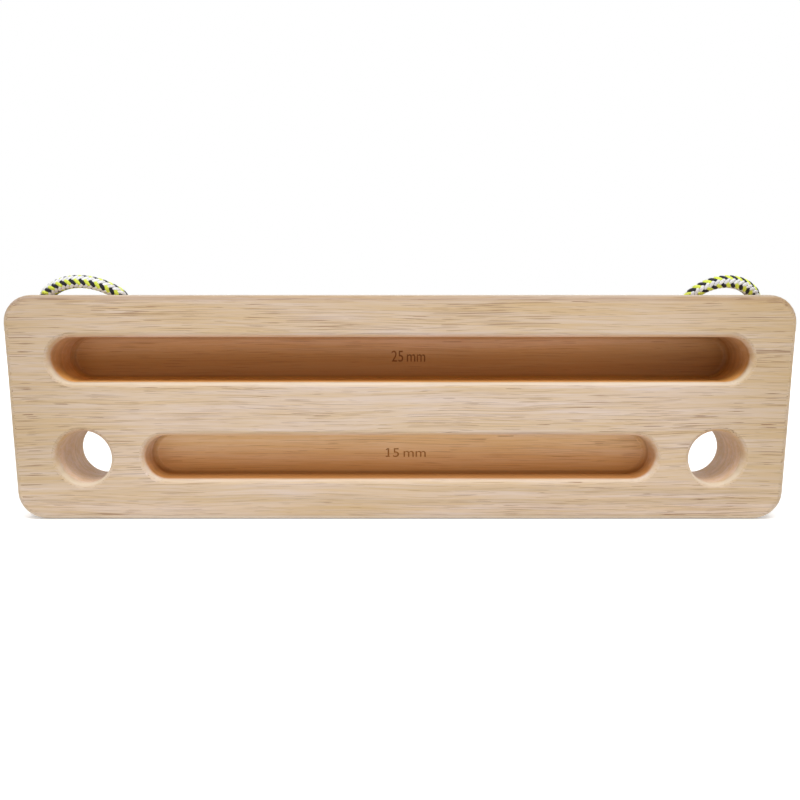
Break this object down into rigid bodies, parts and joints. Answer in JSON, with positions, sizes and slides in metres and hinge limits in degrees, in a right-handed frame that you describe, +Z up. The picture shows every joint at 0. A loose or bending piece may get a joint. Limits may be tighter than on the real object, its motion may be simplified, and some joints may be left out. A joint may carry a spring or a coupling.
{
  "type": "portable hangboard",
  "caption": "Portable wooden hangboard with long finger slots, round finger holes and a cord laced through slanting bores, its spare length tied in a hank.",
  "frame": {"origin": "middle of the board's lower edge, halfway through its thickness, on the surface that it stands on", "axes": "+X to the right as seen from the front, along the board; +Y away from the slotted front; +Z up"},
  "size_m": [0.42, 0.0964, 0.133],
  "materials": {
    "wood": "sanded pale rubberwood, lightly oiled",
    "cord": "round braid of black, lime yellow and off-white yarns",
    "strap": "plain woven black strap"
  },
  "bodies": {
    "board": {"board": "wood", "left_outer_strand": "cord", "left_inner_strand": "cord", "right_outer_strand": "cord", "right_inner_strand": "cord", "left_knot": "cord", "right_knot": "cord", "left_stretch": "cord", "right_stretch": "cord", "cord_hank": "cord", "hank_tie": "strap"},
    "left_arch": {"left_bight": "cord"},
    "right_arch": {"right_bight": "cord"}
  },
  "joints": [
    {"name": "left_bight_swing", "type": "hinge", "parent": "board", "child": "left_arch", "pos_m": [-0.1736, 0.001, 0.1229], "axis": [1, 0, 0], "range_deg": [-68, 12]},
    {"name": "right_bight_swing", "type": "hinge", "parent": "board", "child": "right_arch", "pos_m": [0.1767, 0.001, 0.1229], "axis": [1, 0, 0], "range_deg": [-68, 12]}
  ]
}
